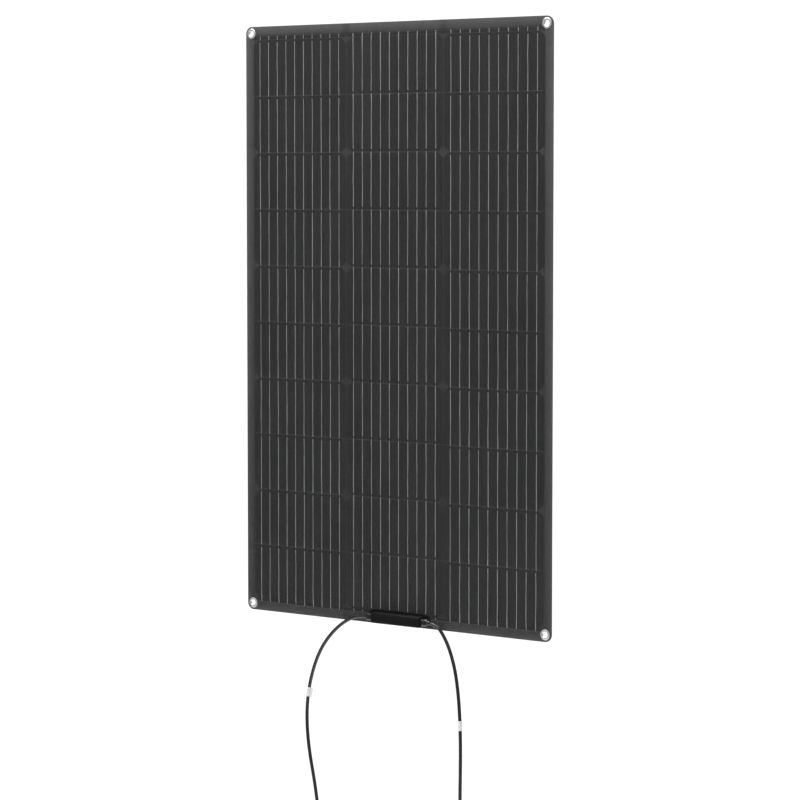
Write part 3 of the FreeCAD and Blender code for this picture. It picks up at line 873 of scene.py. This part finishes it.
# ---- Eyelets ----
def eyelets():
    """A rolled flange in front, the barrel through the sheet, and its end rolled on a washer."""
    hole = 4.8
    flange = flange_radius / mm
    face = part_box("top_eyelets")[0].y / mm
    film = front_y / mm
    eyelet_profile = [
        (hole, -0.3), (hole, face + 0.9), (hole + 0.06, face + 0.55), (hole + 0.3, face + 0.2),
        (hole + 0.75, face + 0.03), (hole + 1.3, face), (hole + 2.1, face + 0.06),
        (hole + 2.9, face + 0.2), (flange - 0.25, face + 0.38), (flange, face + 0.56),
        (flange - 0.04, film + 0.06), (hole + 1.2, film + 0.01), (hole + 0.5, film + 0.35),
        (hole + 0.5, -0.5), (hole + 0.62, -0.3), (hole + 1.0, -0.2), (hole + 1.45, -0.17),
        (hole + 1.5, -0.06), (hole + 1.1, 0.0), (hole + 0.6, -0.01), (hole + 0.2, -0.1),
    ]
    washer_profile = [
        (hole + 0.56, -0.6), (flange - 0.1, -0.6), (flange, -0.5), (flange, -0.25),
        (flange - 0.2, -0.08), (flange - 0.7, -0.02), (flange - 1.4, -0.06),
        (hole + 1.6, -0.22), (hole + 0.9, -0.3), (hole + 0.56, -0.36),
    ]
    for (x, z), end in zip(eyelet_spots, ("top", "top", "bottom", "bottom")):
        for kind, profile in (("eyelet", eyelet_profile), ("washer", washer_profile)):
            bm = bmesh.new()
            turned(bm, profile, (x, 0.0, z), steps=72)
            name = kind + "_" + end + ("_left" if x < 0 else "_right")
            settle(piece_from(name, bm, plated, 40.0), end + "_" + kind + "s",
                   end + "_band")


# ---- Junction box ----
box_low, box_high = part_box("box_base")
box_x, box_z = (box_low.x + box_high.x) / 2, (box_low.z + box_high.z) / 2
box_width, box_height = box_high.x - box_low.x, box_high.z - box_low.z
foot_y = box_high.y
parting_y = box_low.y
lid_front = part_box("box_lid")[0].y


def box_plates(bm, base_y, levels):
    """A moulding with the box's rounded outline: levels are (y from base_y, inset) in mm."""
    corner, least_corner = 1.6, 0.3
    rings = []
    for along, inset in levels:
        outline = rounded_rectangle(
            (box_x, box_z), box_width / 2 - inset * mm, box_height / 2 - inset * mm,
            max(corner - inset, least_corner) * mm, 6)
        rings.append([bm.verts.new((x, base_y + along * mm, z)) for x, z in outline])
    ring_faces(bm, rings)


def box_body():
    """The base: a foot, a waist with ribs along both sides, and a step under the lid."""
    depth = (foot_y - parting_y) / mm
    bm = bmesh.new()
    box_plates(bm, foot_y, [
        (0.0, 0.15), (-0.1, 0.0), (-1.4, 0.0), (-1.6, 0.12), (-1.8, 0.45), (-2.2, 0.55),
        (0.7 - depth, 0.4), (0.55 - depth, 0.5), (0.5 - depth, 0.8), (0.02 - depth, 0.85),
    ])
    rib_y = (foot_y + parting_y) / 2 - 0.7 * mm
    for side in (-1, 1):
        rib_z = box_z + side * (box_height / 2 - 0.625 * mm)
        for share in (-0.36, -0.12, 0.12, 0.36):
            soft_block(bm, (box_x + share * box_width, rib_y, rib_z),
                       (5.2, depth - 3.4, 1.15), 0.25)
    settle(piece_from("box_body", bm, box_plastic), "box_base")


def box_cover():
    """The lid: a chamfered rim, a panel set slightly in, and grip ribs at each end."""
    depth = (parting_y - lid_front) / mm
    bm = bmesh.new()
    box_plates(bm, lid_front, [
        (depth, 0.25), (depth - 0.08, 0.05), (depth - 0.3, 0.0), (depth - 0.5, 0.06),
        (0.2, 0.85), (0.04, 1.05), (0.0, 1.3), (0.0, 2.5), (0.06, 2.65), (0.3, 2.8), (0.34, 3.0),
    ])
    for side in (-1, 1):
        for step in range(4):
            rib_x = box_x + side * (box_width / 2 - (7.5 + 1.6 * step) * mm)
            soft_block(bm, (rib_x, lid_front + 0.31 * mm, box_z), (0.8, 0.38, 8.4), 0.15)
    settle(piece_from("box_cover", bm, box_plastic), "box_lid")


def sealant_bead():
    """Sealant squeezed out round the box and its clamps, with an uneven edge."""
    pad_low, pad_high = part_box("box_adhesive")
    reach_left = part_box("cable_clamp_left")[0].x + 5 * mm
    reach_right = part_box("cable_clamp_right")[1].x - 4 * mm
    generator = random.Random(11)
    top, bottom = [], []
    steps = 72
    for step in range(steps + 1):
        x = reach_left + (reach_right - reach_left) * step / steps
        beyond = max(box_low.x - x, x - box_high.x, 0.0)
        fall = min(beyond / (6 * mm), 1.0)
        end_fall = max(0.0, 1 - min(x - reach_left, reach_right - x) / (4 * mm)) ** 2
        wave = generator.uniform(-0.35, 0.35) * mm
        top.append((x, pad_high.z - (2.2 * fall + 5.5 * end_fall) * mm + wave))
        bottom.append((x, pad_low.z + (2.0 * fall + 3.5 * end_fall) * mm + wave * 0.5))
    outline = [Vector(spot) for spot in top + bottom[::-1]]
    bm = bmesh.new()
    rings = []
    for y, inset in ((pad_high.y - 0.01 * mm, 0.0), (pad_high.y - 0.35 * mm, 0.1 * mm),
                     (pad_high.y - 0.65 * mm, 0.45 * mm), (pad_low.y, 1.1 * mm)):
        ring = []
        for index, spot in enumerate(outline):
            run = (outline[(index + 2) % len(outline)] - outline[index - 2]).normalized()
            ring.append(bm.verts.new((spot.x + run.y * inset, y, spot.y - run.x * inset)))
        rings.append(ring)
    ring_faces(bm, rings)
    settle(piece_from("sealant_bead", bm, adhesive), "box_adhesive")


def outline_reach(heading, corners):
    """How far it is from the origin to an outline, going along a heading."""
    tiny, slack = 1e-12, 1e-6
    reach = 0.0
    for start, end in zip(corners, corners[1:] + corners[:1]):
        edge = end - start
        across = heading.cross(edge)
        if abs(across) > tiny:
            distance = start.cross(edge) / across
            share = start.cross(heading) / across
            if -slack <= share <= 1 + slack:
                reach = max(reach, distance)
    return reach


def clamp(side):
    """A moulded clamp with sloped long edges, and a boss that tapers down to the lead.

    It is a stack of rings round the lead, each with its place along the lead in millimetres.
    """
    name = "left" if side < 0 else "right"
    low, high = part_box("cable_clamp_" + name)
    inner_x = high.x if side < 0 else low.x
    lead_y, lead_z = left_lead_route[0][1:]
    half_block = (high.z - low.z) / 2
    bevel = 2.6 * mm
    count = 96
    angles = [2 * math.pi * (step + 0.5) / count for step in range(count)]
    headings = [Vector((math.cos(angle), math.sin(angle))) for angle in angles]

    def block_ring(shrink):
        """The block: square against the sheet, sloped at its two front edges."""
        rear, front = high.y - shrink - lead_y, low.y + shrink - lead_y
        reach = half_block - shrink
        corners = [Vector(corner) for corner in (
            (rear, -reach), (rear, reach), (front + bevel, reach), (front, reach - bevel),
            (front, bevel - reach), (front + bevel, -reach),
        )]
        return [outline_reach(heading, corners) for heading in headings]

    block = [(0.0, 0.35), (0.3, 0.0), (2.2, 0.0)]
    for groove_start in (2.4, 5.8):
        block += [(groove_start + 0.15, 0.3), (groove_start + 0.75, 0.3),
                  (groove_start + 0.9, 0.0), (groove_start + 3.2, 0.0)]
    block_end = 11.4
    block += [(block_end - 0.8, 0.0), (block_end - 0.25, 0.18), (block_end, 0.7)]
    boss = [(0.0, 4.5), (0.3, 4.3), (1.6, 4.15), (1.85, 3.85), (2.6, 3.8), (2.85, 4.0),
            (4.3, 3.75), (4.8, 3.5), (5.1, 3.2)]
    bore = lead_diameter / 2 + 0.06 * mm
    stack = [(along, block_ring(shrink * mm)) for along, shrink in block]
    stack += [(block_end + along, [radius * mm] * count) for along, radius in boss]
    stack += [(block_end + 5.1, [bore] * count), (0.2, [bore] * count)]
    bm = bmesh.new()
    rings = [
        [bm.verts.new((inner_x + side * along * mm, lead_y + heading.x * reach,
                       lead_z + heading.y * reach))
         for heading, reach in zip(headings, reaches)]
        for along, reaches in stack
    ]
    ring_faces(bm, rings + rings[:1], closed_ends=False)
    settle(piece_from("clamp_" + name, bm, clamp_plastic), "cable_clamp_" + name)


# ---- Labels on the leads ----
def frames_along(line, middle_height, length, steps):
    """Points on a lead's line about the spot at a height, with the line's direction there."""
    middle = min(range(len(line)), key=lambda index: abs(line[index].z - middle_height))
    travelled = [0.0]
    for before, after in zip(line, line[1:]):
        travelled.append(travelled[-1] + (after - before).length)
    spots = []
    for step in range(steps + 1):
        distance = travelled[middle] + length * (step / steps - 0.5)
        index = next(index for index, reached in enumerate(travelled) if reached >= distance)
        run = travelled[index] - travelled[index - 1]
        spots.append(line[index - 1].lerp(line[index], (distance - travelled[index - 1]) / run))
    runs = [(after - before).normalized() for before, after in zip(spots, spots[1:])]
    return list(zip(spots, runs + runs[-1:]))


def label(name, node, lead_piece, flag_reach):
    """A white film wrapped round a lead. With a flag, its two ends are pressed together.

    Its sections are in millimetres about the lead's middle, with the flag along the first axis.
    """
    low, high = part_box(node)
    length = 15.6 * mm
    steps = 14
    outer, inner = 3.3, 2.86
    crease = 0.012
    turns = 30
    opening = 9.0
    flag_lean = 0.75
    upright_share = 0.35
    if flag_reach:
        flag = [(flag_reach, 0.1), (flag_reach * 0.66, 0.12), (3.5, 0.26)]
        roots = [2.0, 4.0, 6.0]
        wrap = [opening + (360 - 2 * opening) * turn / turns for turn in range(turns + 1)]
        inner_angles = roots + wrap + [-root for root in reversed(roots)]
    else:
        flag = []
        wrap = [360 * turn / turns for turn in range(turns)]
        inner_angles = [angle + 180 / turns for angle in wrap]
    inside = [(inner * math.cos(math.radians(angle)), inner * math.sin(math.radians(angle)))
              for angle in inner_angles]
    bm = bmesh.new()
    rings = []
    frames = frames_along(lead_line(lead_piece), (low.z + high.z) / 2, length, steps)
    for step, (spot, along) in enumerate(frames):
        share = step / steps
        side = (Vector((1.0, 0.0, 0.0)) - along * along.x).normalized()
        front = along.cross(side)
        flag_faces = [
            [(reach, way * half + flag_lean * (reach / flag_reach) ** 2 * (share - upright_share))
             for reach, half in flag]
            for way in (1, -1)
        ]
        outside = flag_faces[0]
        for angle in [math.radians(degrees) for degrees in wrap]:
            reach = outer * (1 + crease * math.sin(5 * angle + 9 * share))
            outside.append((reach * math.cos(angle), reach * math.sin(angle)))
        outside += reversed(flag_faces[1])
        rings.append([
            [bm.verts.new(spot + (side * a + front * b) * mm) for a, b in loop]
            for loop in (outside, inside)
        ])
    for first, second in zip(rings, rings[1:]):
        for ring_pair in zip(first, second):
            ring_faces(bm, ring_pair, closed_ends=False)
    for end in (rings[0], rings[-1]):
        ring_faces(bm, end, closed_ends=False)
    return settle(piece_from(name, bm, paper, 50.0), node)


# ---- Connectors ----
def grip_nut(name, node, spot):
    """A round nut with finger grooves, closed down to the lead at its top."""
    low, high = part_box(node)
    foot = (low.z - high.z) / mm
    bore = lead_diameter / mm / 2 + 0.05
    bm = bmesh.new()
    turned(bm, [
        (bore, -0.2), (bore + 0.3, 0.0), (4.9, 0.0), (5.6, -0.3), (6.1, -1.4), (6.9, -2.4, 0.35),
        (7.2, -3.4, 1.0), (7.25, foot + 3.4, 1.0), (7.15, foot + 2.2, 0.4), (7.2, foot + 1.8),
        (7.2, foot + 0.35), (6.9, foot), (5.3, foot), (5.15, foot + 0.5), (5.15, -3.0),
        (bore, -3.2),
    ], (*spot[:2], high.z), upright=True, steps=96)
    return settle(piece_from(name, bm, connector_plastic, 30.0), node)


def connector_shell(name, node, spot, plug):
    """The body between nut and mating end: a sleeve with latch arms, or a nose with rails.

    Heights are in millimetres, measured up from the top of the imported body. blocks are (reach
    sideways, bottom, top, width, depth, softness), one on each side.
    """
    low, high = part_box(node)
    shoulder = -22.0
    tip = (low.z - high.z) / mm
    neck = [(4.1, 0.0), (4.8, 0.0), (5.0, -0.3)]
    for ridge in range(6):
        middle = -1.6 - 1.5 * ridge
        neck += [(5.02, middle + 0.3), (4.75, middle), (5.02, middle - 0.3)]
    collar = [(5.0, -11.9), (6.6, -12.0), (7.0, -12.4), (7.0, -13.8), (6.6, -14.1),
              (6.6, -15.2), (7.0, -15.6)]
    socket_bore = [(2.35, shoulder), (2.35, -8.8), (4.1, -9.0)]
    if plug:
        end = tip + 4.0
        mating = [(7.0, end + 0.5), (6.7, end), (5.2, end), (4.85, end + 0.5), (4.85, shoulder)]
        blocks = [(7.7, tip + 3.0, shoulder + 3.5, 2.0, 4.8, 0.4),
                  (8.2, tip, tip + 4.0, 1.6, 5.0, 0.5)]
    else:
        mating = [(7.0, shoulder + 0.4), (6.6, shoulder), (4.7, shoulder), (4.5, shoulder - 0.3),
                  (4.5, tip + 5.2), (4.2, tip + 5.0), (4.2, tip + 3.8), (4.5, tip + 3.6),
                  (4.5, tip + 0.6), (4.1, tip), (3.0, tip), (2.7, tip + 0.3), (2.7, shoulder)]
        blocks = [(6.5, shoulder - 12.0, shoulder + 2.0, 3.0, 5.8, 0.5),
                  (4.75, shoulder - 11.0, shoulder + 0.5, 1.7, 2.8, 0.2)]
    bm = bmesh.new()
    turned(bm, neck + collar + mating + socket_bore, (*spot[:2], high.z), upright=True)
    for side in (-1, 1):
        for reach, bottom, top, width, depth, softness in blocks:
            middle = (spot[0] + side * reach * mm, spot[1], high.z + (bottom + top) / 2 * mm)
            soft_block(bm, middle, (width, depth, top - bottom), softness)
    return settle(piece_from(name, bm, connector_plastic, 30.0), node)


eyelets()
box_body()
box_cover()
sealant_bead()
clamp(-1)
clamp(1)
left_label = label("flag_label", "label_left", left_lead, 8.0)
right_label = label("wrap_label", "label_right", right_lead, 0.0)
plug_spot = left_lead_route[-1]
socket_spot = right_lead_route[-1]
plug_grip = grip_nut("plug_grip", "plug_nut", plug_spot)
socket_grip = grip_nut("socket_grip", "socket_nut", socket_spot)
plug_shell = connector_shell("plug_shell", "plug_body", plug_spot, True)
socket_shell = connector_shell("socket_shell", "socket_body", socket_spot, False)

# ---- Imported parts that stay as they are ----
for material, nodes in (
    (black_bus, ("top_bus_ribbons", "bottom_bus_ribbons")),
    (potting, ("box_potting",)),
    (contact_plate, ("box_terminals", "conductor_ends", "plug_contact", "socket_contact")),
    (box_plastic, ("bypass_diodes",)),
    (bush_rubber, ("clamp_bushes", "plug_seal", "socket_seal")),
):
    for node in nodes:
        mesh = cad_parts[node].data
        mesh.materials.clear()
        mesh.materials.append(material)


# ---- Floor and light ----
def add_floor():
    """A pale floor disc under the hanging leads."""
    clearance = 0.3
    bm = bmesh.new()
    bmesh.ops.create_circle(bm, cap_ends=True, segments=96, radius=1.6)
    bmesh.ops.translate(bm, verts=bm.verts, vec=(0.0, 0.0, cad_bounds[0].z - clearance))
    piece_from("floor", bm, floor_material())


def add_light(name, kind, power, aim):
    """A light that shines along aim."""
    data = bpy.data.lights.new(name, kind)
    data.energy = power
    light = bpy.data.objects.new(name, data)
    light.rotation_mode = "QUATERNION"
    light.rotation_quaternion = Vector(aim).to_track_quat("-Z", "Y")
    scene.collection.objects.link(light)
    return light


def add_area_light(name, location, target, size, power):
    light = add_light(name, "AREA", power, Vector(target) - Vector(location))
    light.location = location
    light.data.shape = "RECTANGLE"
    light.data.size, light.data.size_y = size


def add_world():
    """White behind the object, and a dimmer even light from all round."""
    world = bpy.data.worlds.new("studio")
    scene.world = world
    world.use_nodes = True
    tree = world.node_tree
    tree.nodes.clear()
    output = tree.nodes.new("ShaderNodeOutputWorld")
    mix = tree.nodes.new("ShaderNodeMixShader")
    rays = tree.nodes.new("ShaderNodeLightPath")
    tree.links.new(rays.outputs["Is Camera Ray"], mix.inputs["Fac"])
    for socket, strength in ((1, 0.2), (2, 1.1)):
        background = tree.nodes.new("ShaderNodeBackground")
        background.inputs["Color"].default_value = (1.0, 1.0, 1.0, 1.0)
        background.inputs["Strength"].default_value = strength
        tree.links.new(background.outputs["Background"], mix.inputs[socket])
    tree.links.new(mix.outputs["Shader"], output.inputs["Surface"])


add_floor()
add_world()
sheet_middle = (0.0, 0.0, sheet_middle_z)
overhead = add_light("overhead", "SUN", 2.7, (0.05, 0.1, -1.0))
overhead.data.angle = math.radians(40.0)
add_area_light("key", (-0.7, -1.3, 1.5), (0.0, 0.0, -0.1), (2.0, 1.2), 52.0)
add_area_light("fill", (2.6, -2.2, 0.6), sheet_middle, (1.8, 1.8), 12.0)
add_area_light("rear_light", (0.5, 2.6, 1.2), sheet_middle, (2.4, 1.8), 60.0)
